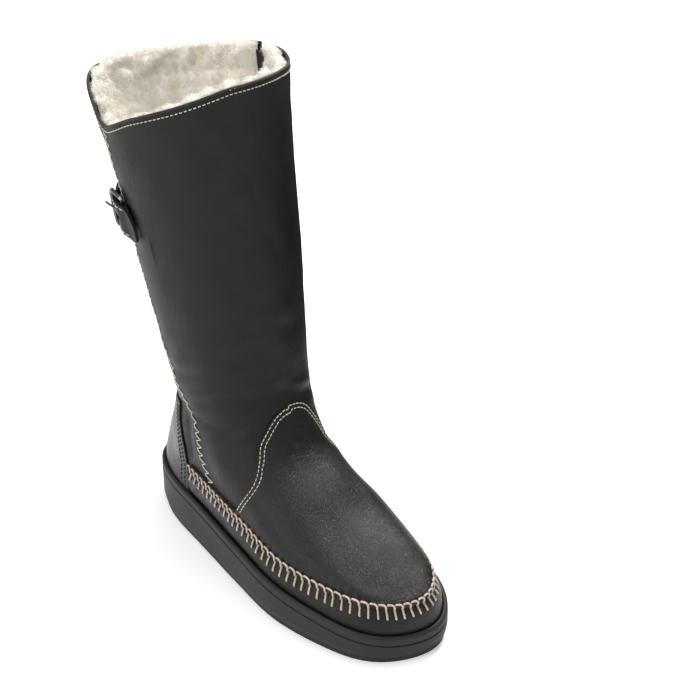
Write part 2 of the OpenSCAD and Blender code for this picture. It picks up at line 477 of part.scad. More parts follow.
module buckle_prong() color([0.2, 0.2, 0.21]) at_buckle() difference() {
    union() {
        translate([0, 0, BAR_H]) rotate([90, 0, 0]) cylinder(h = 2.2, r = 1.8, center = true);
        translate([0, 0, BAR_H]) rotate([0, 90 - PR_A, 0]) cylinder(h = 19.5, r = 0.85);
        translate([0, 0, BAR_H]) rotate([0, 90 - PR_A, 0]) translate([0, 0, 19.5]) sphere(r = 1);
    }
    translate([0, 0, BAR_H]) rotate([90, 0, 0]) cylinder(h = 5, r = 1.06, center = true);
}

// ---- thread ----
W_N = floor(430 / whip_pitch);
module whip_stitch() color([0.72, 0.66, 0.58]) for (i = [0 : W_N]) {
    t = mixf(APRON_A + 0.6, APRON_B - 0.6, i / W_N);
    m = seam(t);
    top = m + ridge_d(t) * 3 + ridge_p(t) * 0.4;
    low = m + ridge_p(t) * 2.1 - [0, 0, 6.2] + seam_n(t) * 1.2;
    bend = top + ridge_p(t) * 1.4;
    far = m + ridge_d(t) * 2.6 - ridge_p(t) * 1.6 + seam_t(t) * 1.5;
    bar(low, bend - unit(bend - low) * 0.9, whip_r);
    bar(bend + unit(far - bend) * 0.9, far, whip_r);
}
module row(pts, r) for (i = [0 : 2 : len(pts) - 2]) bar(pts[i], pts[i + 1], r);
module vamp_stitch() color([0.72, 0.66, 0.56]) for (d = [0.97]) for (s = [-1, 1])
    for (i = [0 : 16]) bar(vamp_o(d, s * (3 + i * 4.7), 1.55), vamp_o(d, s * (3 + i * 4.7 + 1.9), 1.55), thread_r);
module zigzag_stitch() color([0.75, 0.72, 0.66]) for (i = [0 : 37]) {
    z = 61 + i * 6.6;
    p = off(-edge_l(z) - 1.3, z, 0);
    q = off(-edge_l(z + 3.3) + 2.2, z + 3.3, 0);
    r = off(-edge_l(z + 6.6) - 1.3, z + 6.6, 0);
    bar(mixf(p, q, 0.13), mixf(p, q, 0.87), thread_r);
    bar(mixf(q, r, 0.13), mixf(q, r, 0.87), thread_r);
}
module edge_stitch() color([0.72, 0.66, 0.56]) {
    a0 = edge_m(345) - 2;
    a1 = edge_r(345) + 2 - 360;
    for (i = [0 : 79]) let (w = mixf(a0, a1, i / 80), v = w - 2.9, a = w < -180 ? w + 360 : w,
        b = v < -180 ? v + 360 : v) bar(off(a, rim(a) - 4.5, 0), off(b, rim(b) - 4.5, 0), thread_r);
}
module zip_stitch() color([0.66, 0.58, 0.46]) for (d = [-9.2, -12, 8.8]) for (i = [0 : 51]) {
    z = 66 + i * 5.2;
    bar(off(angley(zipc(z) + d, z), z, 0), off(angley(zipc(z + 4) + d, z + 4), z + 4, 0), thread_r);
}
module strap_stitch() color([0.72, 0.66, 0.56]) for (k = [-0.8, 0.8]) for (i = [0 : 33]) {
    b = 98 + i * 4.7;
    bar(strap_p(b, k, strap_t), strap_p(b + 3.4, k, strap_t), thread_r);
}
module counter_stitch() color([0.03, 0.03, 0.03]) for (i = [0 : 13]) {
    v = 0.15 + i * 0.058;
    bar(counter_p(0.018, v, 1.4), counter_p(0.018, v + 0.04, 1.4), thread_r);
    bar(counter_p(0.982, v, 1.4), counter_p(0.982, v + 0.04, 1.4), thread_r);
}

outsole();
cupsole();
foam_filler();
shank();
insole_board();
footbed();
apron();
vamp();
shaft_front();
shaft_back();
heel_counter();
edge_fold();
heel_stiffener();
toe_puff();
lining_foot();
lining_front();
lining_back();
zip_tape_front();
zip_tape_rear();
zip_teeth_front();
zip_teeth_rear();
zip_top_stops();
zip_bottom_stop();
zip_guard();
zip_slider();
zip_pull();
strap();
buckle_chape();
buckle_frame();
buckle_prong();
whip_stitch();
vamp_stitch();
zigzag_stitch();
edge_stitch();
zip_stitch();
strap_stitch();
counter_stitch();
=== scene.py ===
import math
import bmesh
import bpy
import numpy as np
from mathutils import Matrix, Vector


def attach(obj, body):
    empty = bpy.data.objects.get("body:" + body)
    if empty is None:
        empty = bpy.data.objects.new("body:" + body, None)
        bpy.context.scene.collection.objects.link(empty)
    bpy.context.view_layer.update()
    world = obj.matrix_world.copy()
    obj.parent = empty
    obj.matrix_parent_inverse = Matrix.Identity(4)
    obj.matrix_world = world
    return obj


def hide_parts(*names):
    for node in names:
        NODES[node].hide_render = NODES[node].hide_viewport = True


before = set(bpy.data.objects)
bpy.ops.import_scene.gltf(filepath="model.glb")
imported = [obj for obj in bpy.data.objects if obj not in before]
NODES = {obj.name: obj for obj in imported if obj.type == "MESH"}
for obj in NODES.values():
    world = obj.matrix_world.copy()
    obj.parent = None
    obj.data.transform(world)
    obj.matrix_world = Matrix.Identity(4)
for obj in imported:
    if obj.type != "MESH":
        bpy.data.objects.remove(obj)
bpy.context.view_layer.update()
OX, OY = -3.38, 9.6          # centre of the box in the drawing's own coordinates, mm

# ---------------------------------------------------------------- tables (mm, degrees)


def smooth(t, k=8):
    t = np.array(t, float)
    n = len(t)
    out = []
    for i in range(n - 1):
        a, b, c, d = t[max(i - 1, 0)], t[i], t[i + 1], t[min(i + 2, n - 1)]
        for j in range(k):
            u = j / k
            out.append(0.5 * (2 * b + (c - a) * u + (2 * a - 5 * b + 4 * c - d) * u * u
                              + (3 * b - a - 3 * c + d) * u ** 3))
    out.append(t[-1])
    return np.array(out)


def look(x, t):
    return np.interp(x, t[:, 0], t[:, 1])


T_HW = smooth([[0, 62], [23.5, 58.5], [43.6, 52.3], [67.7, 45.2], [90, 48.6], [110.2, 58.3],
               [130.9, 63.6], [153.7, 72.5], [180, 77.7]])
T_XC = smooth([[-145, 8.2], [-130, 4.3], [-95, 2.6], [-50, 0.6], [0, -2.7], [55, -4.3],
               [105, -3.8], [145, -3]])
T_D = smooth([[34, -129], [43, -121], [54, -97], [65, -67], [77, -45], [90, -22], [103, -9],
              [118, 0], [140, 8], [200, 15.7], [260, 22], [320, 26.2], [356, 27.6]])
T_DZ = smooth([[-134, 39], [-128, 41.2], [-121, 44.2], [-97, 54], [-67, 65], [-45, 77], [-22, 90], [-9, 103],
               [0, 118], [8, 140]])
T_B = smooth([[14, 139.2], [38, 139.2], [50, 137.2], [70, 128], [90, 118], [110, 110], [130, 110],
              [160, 115], [210, 126.3], [270, 142.5], [320, 159], [356, 169.6]])
T_W = np.array([[34, 44], [60, 49], [90, 46], [110, 44.5], [130, 48], [150, 51], [356, 67.4]], float)
T_X = np.array([[34, -3], [60, -3], [110, 0], [356, -6]], float)
T_S = smooth([[-145, 38], [-60, 44.4], [0, 55], [90, 58.5], [150, 58.5]])
T_RIM = smooth([[-180, 338], [-155, 339], [-130, 336], [-112, 326], [-98, 315], [-70, 327], [-45, 336],
                [-15, 346.5],
                [0, 348.6], [25, 349], [50, 347], [90, 347], [120, 342], [150, 338.5], [180, 338]])
T_VL = smooth([[0, 121.5], [0.15, 120.3], [0.3, 113], [0.38, 98], [0.46, 88], [0.58, 78],
               [0.7, 68], [0.82, 60.5], [0.9, 57.6], [1, 58.2]])
T_VM = smooth([[0, 121.5], [0.2, 121.5], [0.42, 116], [0.55, 102], [0.62, 92], [0.72, 80],
               [0.84, 66], [0.93, 58], [1, 57.8]])
T_ZIG = smooth([[30, 36], [57, 36], [70, 41.5], [82, 46.5], [96, 47.5], [104, 50], [112, 55.5],
                [125, 63], [140, 69], [200, 87], [260, 96.5], [320, 104], [356, 109]])
T_VEL = smooth([[0, 2], [0.06, -0.5], [0.33, -7], [0.55, -10], [0.66, -8.5], [0.72, -4.5],
                [0.76, -0.2], [0.82, 1.2], [0.92, 2], [1, 3]])
T_VEM = smooth([[0, 9.5], [0.05, 8.5], [0.2, 3], [0.46, -4], [0.57, -5], [0.65, -3], [0.7, 1.6],
                [0.76, 4], [0.85, 4.9], [0.93, 4.4], [1, 3]])
T_CL = np.array([[30, 71], [60, 72.5], [100, 75], [111, 75]], float)
T_CM = np.array([[30, 79], [56, 80], [77, 82], [95, 90], [111, 97]], float)
T_ZIP = np.array([[30, 41], [60, 40.5], [75, 38.5], [97, 39], [120, 46], [145, 55.5]], float)
T_SH = smooth([[88, 0.9], [97, 1.5], [101, 3.2], [104, 4.5], [108, 4.5], [112, 3.2], [117, 1.2], [121, 0.7],
               [128, 0.5], [180, 0.5], [262, 0.5]])
T_SZ = smooth([[88, 243], [106, 253], [140, 256], [180, 256], [220, 253], [262, 243.5]])
LEATHER, INSET, CUP = 1.6, 11.3, 3.6
APRON_A, APRON_B = 61.0, 283.0


def sstep(a, b, x):
    u = np.clip((x - a) / (b - a), 0, 1)
    return u * u * (3 - 2 * u)


def mix(a, b, u):
    return a + (b - a) * u


def sind(a):
    return np.sin(np.radians(a))


def cosd(a):
    return np.cos(np.radians(a))


def acosd(x):
    return np.degrees(np.arccos(np.clip(x, -1, 1)))


def unit(v):
    return v / np.maximum(np.linalg.norm(v, axis=-1, keepdims=True), 1e-9)


def vec(x, y, z):
    return np.stack(np.broadcast_arrays(x, y, z), -1).astype(float)


# ---------------------------------------------------------------- the boot's surface


def sole_z(y):
    u = y / 145
    return 33 + 9 * u - 5 * u * u


def outline(t, inset):
    def p0(t):
        a = np.where(t <= 180, t, 360 - t)
        y = 145 * cosd(a)
        return np.stack([look(y, T_XC) + np.where(t <= 180, -1, 1) * look(a, T_HW) * sind(a), y], -1)
    p = p0(t)
    g = unit(p0(t + 0.5) - p0(t - 0.5))
    n = np.stack([-g[..., 1], g[..., 0]], -1)
    c = np.stack([look(p[..., 1] * 0.6, T_XC), p[..., 1] * 0.6], -1)
    s = np.where(((p - c) * n).sum(-1, keepdims=True) > 0, 1, -1)
    return p - n * s * inset


def wlow(y, z):
    yb = look(z, T_B)
    q = np.where(y > 40, 40 + (y - 40) * 105 / (yb - 40),
                 np.where(y < -20, -20 + (y + 20) * 125 / (125 - INSET), y))
    yy = np.clip(q, -145, 145)
    a = acosd(yy / 145)
    ins = np.where(yy < 0, mix(5.8, INSET, -yy / 145),
                   mix(5.8, 7, yy / 145) - 1.6 * (1 - sstep(36, 56, z)))
    return look(a, T_HW) * sind(a) * (1 - ins / 46)


def wshaft(y, z):
    d, b = look(z, T_D), look(z, T_B)
    m = np.clip((y - d) / (b - d), 0, 1) * 2 - 1
    return look(z, T_W) * np.sqrt(np.maximum(0, 1 - m * m))


def warch(y, z):
    zt = np.where(y < 5, look(y, T_DZ), 130 + (y - 5) * 8)
    zs = look(y, T_S)
    q = np.clip((z - zs) / np.maximum(zt - zs, 0.001), 0, 1)
    return wlow(y, z) * np.power(1 - np.power(q, 2.2), 1 / 2.2)


def skin(s, y, z):
    b = sstep(45, 120, z)
    m = (y - look(z, T_D)) / (look(z, T_B) - look(z, T_D))
    flare = 3.6 * sstep(285, 350, z) * sstep(0.5, 0.74, m) * (1 - sstep(0.88, 1, m))
    w = (1 - b) * warch(y, z) + b * wshaft(y, z) + np.where(s < 0, flare, 0)
    return vec((1 - b) * look(y, T_XC) + b * look(z, T_X) + s * w, y, z)


def ringy(a, z):
    d, b = look(z, T_D), look(z, T_B)
    return d + (b - d) * (1 - cosd(a)) / 2


def angley(y, z):
    d, b = look(z, T_D), look(z, T_B)
    return acosd(1 - 2 * (y - d) / (b - d))


def ring(a, z):
    return skin(np.where(a < 0, -1, 1), ringy(np.abs(a), z), z)


def ringn(a, z):
    return unit(np.cross(ring(a + 1, z) - ring(a - 1, z), ring(a, z + 1) - ring(a, z - 1)))


WAVES = {}


def waves(p, size, seed, n=14):
    """smooth noise from -1 to 1, with bumps about size mm across"""
    if seed not in WAVES:
        r = np.random.default_rng(seed)
        WAVES[seed] = (unit(r.normal(size=(n, 3))) * r.uniform(0.7, 1.4, (n, 1)), r.uniform(0, 6.28, n))
    k, f = WAVES[seed]
    return np.sin(p @ (k.T * 2 * math.pi / size) + f).sum(-1) / math.sqrt(n)


def zipc(z):
    return np.where(z > 145, 99.5 - (343 - z) * 0.222, look(z, T_ZIP))


FOLDS = [  # ring angle, height, tilt, depth, half width, reach: soft creases where the ankle bends
    (-62, 128, 0.30, 0.9, 3.2, 30), (-48, 112, 0.42, 1.1, 3.0, 26), (-78, 146, 0.24, 0.7, 4.0, 28),
    (36, 124, -0.25, 0.8, 3.2, 26), (-15, 133, 0.10, 0.6, 3.6, 22), (-30, 163, 0.2, 0.5, 5.0, 26),
    (150, 118, 0.1, 0.9, 3.4, 30), (-150, 121, -0.1, 0.9, 3.4, 34), (175, 135, 0.0, 0.8, 3.8, 40),
    (12, 178, -0.1, 0.45, 5.5, 26), (-120, 150, -0.2, 0.6, 4.4, 24), (165, 160, 0.06, 0.5, 5, 34)]


def crease(a, z):
    """how far the leather stands off its even surface"""
    a = np.where(a > 180, a - 360, a)
    d = np.zeros(np.broadcast(a, z).shape)
    for fa, fz, tilt, depth, half, reach in FOLDS:
        da = (a - fa + 180) % 360 - 180
        e = (z - fz - tilt * da) / half
        k = np.exp(-(da / reach) ** 2)
        d += k * depth * (-np.exp(-e * e) + 0.75 * np.exp(-(e - 2.2) ** 2) + 0.45 * np.exp(-(e + 2.2) ** 2))
    p = ring(a, z)
    fold = (p[..., 1] - mix(66, 61, sstep(60, 112, z))) / 4.2
    d -= 2.4 * np.exp(-fold * fold) * sstep(62, 74, z) * (1 - sstep(96, 116, z)) * (p[..., 0] < 0)
    d += 0.75 * waves(p * [1, 1, 0.45], 62, 1) * sstep(60, 150, z)
    d += 0.22 * waves(p * [1, 1, 0.7], 21, 2)
    keep = sstep(10, 30, np.abs(p[..., 1] - zipc(z)) + np.where(p[..., 0] < 0, 99, 0))
    keep = keep * (1 - sstep(222, 232, z) * (1 - sstep(268, 280, z)) * (np.abs(a) > 80))
    return d * keep * sstep(50, 75, z) * (1 - 0.8 * sstep(320, 345, z))


def off(a, z, o):
    return ring(a, z) + (o + crease(a, z))[..., None] * ringn(a, z)


def rim(a):
    return look(a, T_RIM)


def back_ring(b, z, o):
    return off(np.where(b <= 180, -b, 360 - b), z, o)


def edge_l(z):
    return angley(look(z, T_ZIG), z)


def edge_m(z):
    return angley(zipc(z) - 6, z)


def edge_r(z):
    return angley(zipc(z) + 6, z)


def front_z(u, v, lap, up):
    q = np.abs(u)
    b = np.where(u < 0, look(q, T_VL), look(q, T_VM)) - lap * (1 - sstep(0.6, 0.9, q))
    t = rim(np.where(u < 0, u * edge_l(322), u * edge_m(345))) + up
    return mix(b, t, np.power(v, 1.3))


def front_a(u, z, trim):
    return np.where(u < 0, u * (edge_l(z) - trim), u * (edge_m(z) - trim))


def back_b(u, z, trim):
    return mix(edge_l(z) + trim, 360 - edge_r(z) - trim, u)


def back_z(u, v, zb, up):
    b = back_b(u, 330.0, 0)
    return mix(zb, rim(np.where(b <= 180, -b, 360 - b)) + up, np.power(v, 1.3))


def counter_p(u, v, o):
    z = mix(31, 111 - 5 * sind(180 * u), v)
    b = mix(angley(look(z, T_CL), z), 360 - angley(look(z, T_CM), z), u)
    return back_ring(b, z, o)


# seam of the vamp
def seam(t):
    h = np.where(t <= 180, t, 360 - t)
    y = 145 * cosd(h)
    y = np.where(y < -20, -20 + (y + 20) * (125 - INSET) / 125,
                 np.where(y > 40, 40 + (y - 40) * (look(58.0, T_B) - 40) / 105, y))
    return skin(np.where(t <= 180, -1, 1), y, look(y, T_S))


def seam_t(t):
    return unit(seam(t + 0.7) - seam(t - 0.7))


def seam_n(t):
    g = seam_t(t)
    return -unit(vec(-g[..., 1], g[..., 0], 0 * g[..., 0]))


def ridge_d(t):
    return unit(0.75 * seam_n(t) + np.array([0, 0, 0.66]))


def ridge_p(t):
    return unit(0.66 * seam_n(t) - np.array([0, 0, 0.75]))


SEAM_T = np.linspace(APRON_A, APRON_B, 1200)
SEAM_P = seam(SEAM_T)
SEAM_S = np.concatenate([[0], np.cumsum(np.linalg.norm(np.diff(SEAM_P, axis=0), axis=1))])
# the hand stitches stand closer together round the toe
PITCH = 6.3 - 1.3 * np.exp(-((SEAM_T[1:] - 178) / 26) ** 4)
COUNT = np.concatenate([[0], np.cumsum(np.diff(SEAM_S) / PITCH)])
WHIPS = int(round(COUNT[-1]))
COUNT = COUNT * WHIPS / COUNT[-1]


def pucker(s):
    """1 halfway between two stitches, 0 under a stitch"""
    return 0.5 - 0.5 * np.cos(2 * math.pi * (np.interp(s, SEAM_S, COUNT) + 0.5))


def nearest_seam(p):
    flat = p.reshape(-1, 3)
    s = np.empty(len(flat))
    d = np.empty(len(flat))
    for i in range(0, len(flat), 4000):
        e = np.linalg.norm(flat[i:i + 4000, None] - SEAM_P[None], axis=-1)
        j = e.argmin(1)
        s[i:i + 4000], d[i:i + 4000] = SEAM_S[j], e.min(1)
    return s.reshape(p.shape[:-1]), d.reshape(p.shape[:-1])


def vamp_s(g, f):
    c = cosd(f)
    e = np.where(f < 0, look(c, T_VEL), look(c, T_VEM))
    y = mix(-133, e, 1 - np.power(1 - g, 1.7))
    zs = look(y, T_S)
    return skin(np.where(f < 0, -1, 1), y, zs + (look(y, T_DZ) - zs) * c)


def vamp_o(g, f, o):
    f1, g1 = np.clip(f, -85, 85), np.clip(g, 0.04, 0.985)
    n = unit(np.cross(vamp_s(g1 + 0.012, f1) - vamp_s(g1 - 0.012, f1),
                      vamp_s(g1, f1 - 3) - vamp_s(g1, f1 + 3)))
    p = vamp_s(g, f)
    s, d = nearest_seam(p)
    e = 0.85 * pucker(s) * np.exp(-(d / 5.0) ** 2) - 0.35 * np.exp(-(d / 3.0) ** 2)
    e = e + 0.28 * waves(p * [1, 0.8, 1], 27, 3) * sstep(4, 16, d) * (1 - sstep(0.85, 0.95, g))
    return p + n * (o + e)[..., None]


# ---------------------------------------------------------------- meshes


def make(name, verts, faces, mat, slot, body="upper", replaces=(), angle=38, closed=True):
    me = bpy.data.meshes.new(name)
    me.from_pydata(((np.asarray(verts) - [OX, OY, 0]) * 0.001).tolist(), [], np.asarray(faces).tolist()
                   if not isinstance(faces, list) else faces)
    if closed:
        bm = bmesh.new()
        bm.from_mesh(me)
        bmesh.ops.recalc_face_normals(bm, faces=bm.faces)
        bm.to_mesh(me)
        bm.free()
    me.polygons.foreach_set("use_smooth", [True] * len(me.polygons))
    me.set_sharp_from_angle(angle=math.radians(angle))
    me.materials.append(mat)
    ob = bpy.data.objects.new(name, me)
    bpy.context.scene.collection.objects.link(ob)
    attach(ob, body)
    if replaces:
        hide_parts(*replaces)
    return ob


def grid_faces(n, m, base=0, flip=False):
    i, j = np.meshgrid(np.arange(n - 1), np.arange(m - 1), indexing="ij")
    q = base + (i * m + j).ravel()
    f = np.stack([q, q + m, q + m + 1, q + 1], -1)
    return f[:, ::-1] if flip else f


def slab(a, b):
    """closed sheet between two grids of points"""
    n, m = a.shape[:2]
    k = n * m
    f = [grid_faces(n, m), grid_faces(n, m, k, True)]
    j = np.arange(m - 1)
    i = np.arange(n - 1) * m
    f.append(np.stack([j, j + 1, k + j + 1, k + j], -1))
    q = (n - 1) * m + j
    f.append(np.stack([q, k + q, k + q + 1, q + 1], -1))
    f.append(np.stack([i, k + i, k + i + m, i + m], -1))
    q = i + m - 1
    f.append(np.stack([q, q + m, k + q + m, k + q], -1))
    return np.concatenate([a.reshape(-1, 3), b.reshape(-1, 3)]), np.concatenate(f)


def ring_faces(q, nxt, n, m):
    """faces of a tube of n rings of m points, closed by a face at each end"""
    sides = np.stack([q, nxt, nxt + m, q + m], -1).tolist()
    return sides + [list(range(m))[::-1], [(n - 1) * m + x for x in range(m)]]


def bevel(ob, width, segments=2, angle=45):
    mod = ob.modifiers.new("round", "BEVEL")
    mod.width = width * 0.001
    mod.segments = segments
    mod.limit_method = "ANGLE"
    mod.angle_limit = math.radians(angle)
    mod.use_clamp_overlap = True
    return ob


def tubes(paths, normals, radius, sides=8, twist=0.0, round_end=True):
    """one mesh of many short threads: paths (s, k, 3), normals (s, 3)"""
    s, k = paths.shape[:2]
    t = unit(np.gradient(paths, axis=1))
    n = normals[:, None] - t * (t * normals[:, None]).sum(-1, keepdims=True)
    n = unit(n)
    b = np.cross(t, n)
    run = np.concatenate([np.zeros((s, 1)), np.cumsum(np.linalg.norm(np.diff(paths, axis=1), axis=-1), 1)], 1)
    th = np.linspace(0, 2 * math.pi, sides, endpoint=False)
    r = np.full((s, k), radius)
    if round_end:
        r[:, 0] *= 0.55
        r[:, -1] *= 0.55
    lobe = 1 + (0.13 * np.cos(3 * th[None, None] - run[..., None] * twist) if twist else 0)
    v = paths[:, :, None] + (r[..., None] * lobe)[..., None] * (
        np.cos(th)[None, None, :, None] * b[:, :, None] + np.sin(th)[None, None, :, None] * n[:, :, None])
    base = (np.arange(s) * k * sides)[:, None, None]
    ring_i = np.arange(k - 1)[None, :, None] * sides
    e = np.arange(sides)[None, None]
    e2 = (e + 1) % sides
    f = np.stack([base + ring_i + e, base + ring_i + e2, base + ring_i + sides + e2,
                  base + ring_i + sides + e], -1).reshape(-1, 4).tolist()
    for i in range(s):
        q = i * k * sides
        f.append([q + x for x in range(sides)][::-1])
        f.append([q + (k - 1) * sides + x for x in range(sides)])
    return v.reshape(-1, 3), f


def stitches(line, norm, length, gap, lift=0.3, sink=0.5, start=0.0, samples=7):
    """machine stitches along a line of points: each dips into the leather at both ends"""
    run = np.concatenate([[0], np.cumsum(np.linalg.norm(np.diff(line, axis=0), axis=1))])
    count = int((run[-1] - start) // (length + gap))
    s0 = start + np.arange(count) * (length + gap)
    s = s0[:, None] + np.linspace(0, length, samples)[None]
    p = np.stack([np.interp(s, run, line[:, i]) for i in range(3)], -1)
    nn = unit(np.stack([np.interp(s, run, norm[:, i]) for i in range(3)], -1))
    w = np.linspace(-1, 1, samples)
    h = lift - (lift + sink) * np.abs(w) ** 4
    return p + nn * h[None, :, None], nn[:, samples // 2]


# ---------------------------------------------------------------- materials


def node_material(name):
    mat = bpy.data.materials.new(name)
    mat.use_nodes = True
    nt = mat.node_tree
    return mat, nt, nt.nodes["Principled BSDF"]


def link(nt, a, b):
    nt.links.new(a, b)


def tex(nt, kind, scale, coord, **props):
    n = nt.nodes.new(kind)
    if "Scale" in n.inputs:
        n.inputs["Scale"].default_value = scale
    for key, value in props.items():
        if key in n.inputs:
            n.inputs[key].default_value = value
        else:
            setattr(n, key, value)
    link(nt, coord, n.inputs["Vector"])
    return n


def ramp(nt, fac, stops):
    n = nt.nodes.new("ShaderNodeValToRGB")
    while len(n.color_ramp.elements) < len(stops):
        n.color_ramp.elements.new(0.5)
    for e, (pos, col) in zip(n.color_ramp.elements, stops):
        e.position = pos
        e.color = (*col, 1) if len(col) == 3 else col
    link(nt, fac, n.inputs["Fac"])
    return n.outputs["Color"]


def bump(nt, height, strength, distance, normal=None):
    n = nt.nodes.new("ShaderNodeBump")
    n.inputs["Strength"].default_value = strength
    n.inputs["Distance"].default_value = distance
    link(nt, height, n.inputs["Height"])
    if normal is not None:
        link(nt, normal, n.inputs["Normal"])
    return n.outputs["Normal"]


def coords(nt, stretch=(1, 1, 1)):
    c = nt.nodes.new("ShaderNodeTexCoord")
    m = nt.nodes.new("ShaderNodeMapping")
    m.inputs["Scale"].default_value = stretch
    link(nt, c.outputs["Object"], m.inputs["Vector"])
    return m.outputs["Vector"]


def leather_material(name, dark, light, rough, grain, depth, coat):
    mat, nt, sh = node_material(name)
    xyz = coords(nt)
    cloud = tex(nt, "ShaderNodeTexNoise", 26, xyz, Detail=5.0, Roughness=0.6)
    link(nt, ramp(nt, cloud.outputs["Fac"], [(0.3, dark), (0.72, light)]), sh.inputs["Base Color"])
    pores = tex(nt, "ShaderNodeTexVoronoi", grain, xyz, feature="DISTANCE_TO_EDGE")
    fine = tex(nt, "ShaderNodeTexNoise", grain * 1.7, xyz, Detail=3.0)
    soft = tex(nt, "ShaderNodeTexNoise", 190, coords(nt, (1, 1, 0.55)), Detail=4.0, Roughness=0.55)
    pebble = tex(nt, "ShaderNodeTexNoise", grain * 0.42, xyz, Detail=3.0, Roughness=0.6)
    n0 = bump(nt, soft.outputs["Fac"], 0.32, 0.0009)
    n1 = bump(nt, pebble.outputs["Fac"], depth * 0.9, 0.00055, n0)
    n2 = bump(nt, ramp(nt, pores.outputs["Distance"], [(0.0, (0, 0, 0)), (0.22, (1, 1, 1))]),
              depth, 0.00022, n1)
    n3 = bump(nt, fine.outputs["Fac"], depth * 0.7, 0.00018, n2)
    link(nt, n3, sh.inputs["Normal"])
    rr = ramp(nt, cloud.outputs["Fac"], [(0.25, (rough - 0.07,) * 3), (0.8, (rough + 0.1,) * 3)])
    link(nt, rr, sh.inputs["Roughness"])
    sh.inputs["Specular IOR Level"].default_value = 0.27
    sh.inputs["Coat Weight"].default_value = coat
    sh.inputs["Coat Roughness"].default_value = 0.42
    return mat


def thread_material(name, col, dark):
    mat, nt, sh = node_material(name)
    xyz = coords(nt)
    n = tex(nt, "ShaderNodeTexNoise", 1400, xyz, Detail=4.0)
    wide_n = tex(nt, "ShaderNodeTexNoise", 90, xyz, Detail=2.0)
    m = nt.nodes.new("ShaderNodeMix")
    m.data_type = "RGBA"
    m.blend_type = "MULTIPLY"
    m.inputs[0].default_value = 0.6
    link(nt, ramp(nt, n.outputs["Fac"], [(0.3, dark), (0.65, col)]), m.inputs[6])
    link(nt, ramp(nt, wide_n.outputs["Fac"], [(0.3, (0.75, 0.72, 0.68)), (0.7, (1, 1, 1))]), m.inputs[7])
    link(nt, m.outputs[2], sh.inputs["Base Color"])
    sh.inputs["Roughness"].default_value = 0.55
    sh.inputs["Sheen Weight"].default_value = 0.3
    link(nt, bump(nt, n.outputs["Fac"], 0.5, 0.0002), sh.inputs["Normal"])
    return mat


def wool_material(name):
    mat, nt, sh = node_material(name)
    xyz = coords(nt)
    # painted shade: the per-point attribute read here turns the wool tan at the fibres' roots and in the
    # hollows between tufts, and cream towards the tips; the cloud noise adds random tone
    at = nt.nodes.new("ShaderNodeAttribute")
    at.attribute_name = "tone_and_painted_shade"
    cloud = tex(nt, "ShaderNodeTexNoise", 130, xyz, Detail=3.0)
    m = nt.nodes.new("ShaderNodeMath")
    m.operation = "MULTIPLY_ADD"
    m.inputs[1].default_value = 0.35
    link(nt, cloud.outputs["Fac"], m.inputs[0])
    link(nt, at.outputs["Fac"], m.inputs[2])
    col = ramp(nt, m.outputs[0], [(0.1, (0.62, 0.50, 0.35)), (0.4, (0.86, 0.79, 0.67)),
                                  (0.85, (0.96, 0.93, 0.87))])
    link(nt, col, sh.inputs["Base Color"])
    sh.inputs["Roughness"].default_value = 0.85
    sh.inputs["Sheen Weight"].default_value = 0.4
    sh.inputs["Sheen Roughness"].default_value = 0.5
    sh.inputs["Subsurface Weight"].default_value = 0.2
    # painted light: a faint cream emission makes the wool glow a little and lifts it where it lies in shade
    sh.inputs["Emission Color"].default_value = (1.0, 0.95, 0.86, 1)
    sh.inputs["Emission Strength"].default_value = 0.03
    sh.inputs["Subsurface Radius"].default_value = (0.004, 0.003, 0.002)
    fuzz = tex(nt, "ShaderNodeTexNoise", 900, xyz, Detail=5.0)
    link(nt, bump(nt, fuzz.outputs["Fac"], 0.7, 0.0008), sh.inputs["Normal"])
    return mat


def rubber_material(name):
    mat, nt, sh = node_material(name)
    xyz = coords(nt)
    n = tex(nt, "ShaderNodeTexNoise", 1100, xyz, Detail=4.0)
    w = tex(nt, "ShaderNodeTexNoise", 22, xyz, Detail=4.0)
    link(nt, ramp(nt, w.outputs["Fac"], [(0.3, (0.0065, 0.0065, 0.007)), (0.75, (0.014, 0.0135, 0.013))]),
         sh.inputs["Base Color"])
    link(nt, ramp(nt, w.outputs["Fac"], [(0.2, (0.52,) * 3), (0.8, (0.68,) * 3)]), sh.inputs["Roughness"])
    link(nt, bump(nt, n.outputs["Fac"], 0.35, 0.0003), sh.inputs["Normal"])
    sh.inputs["Specular IOR Level"].default_value = 0.42
    return mat


def metal_material(name, dark, light, rough):
    mat, nt, sh = node_material(name)
    xyz = coords(nt)
    n = tex(nt, "ShaderNodeTexNoise", 420, xyz, Detail=4.0)
    geo = nt.nodes.new("ShaderNodeNewGeometry")
    worn = ramp(nt, geo.outputs["Pointiness"], [(0.49, (0, 0, 0)), (0.56, (1, 1, 1))])
    m = nt.nodes.new("ShaderNodeMix")
    m.data_type = "RGBA"
    link(nt, worn, m.inputs[0])
    m.inputs[6].default_value = (*dark, 1)
    m.inputs[7].default_value = (*light, 1)
    link(nt, m.outputs[2], sh.inputs["Base Color"])
    sh.inputs["Metallic"].default_value = 1.0
    link(nt, ramp(nt, n.outputs["Fac"], [(0.3, (rough - 0.06,) * 3), (0.7, (rough + 0.12,) * 3)]),
         sh.inputs["Roughness"])
    link(nt, bump(nt, n.outputs["Fac"], 0.12, 0.0002), sh.inputs["Normal"])
    return mat


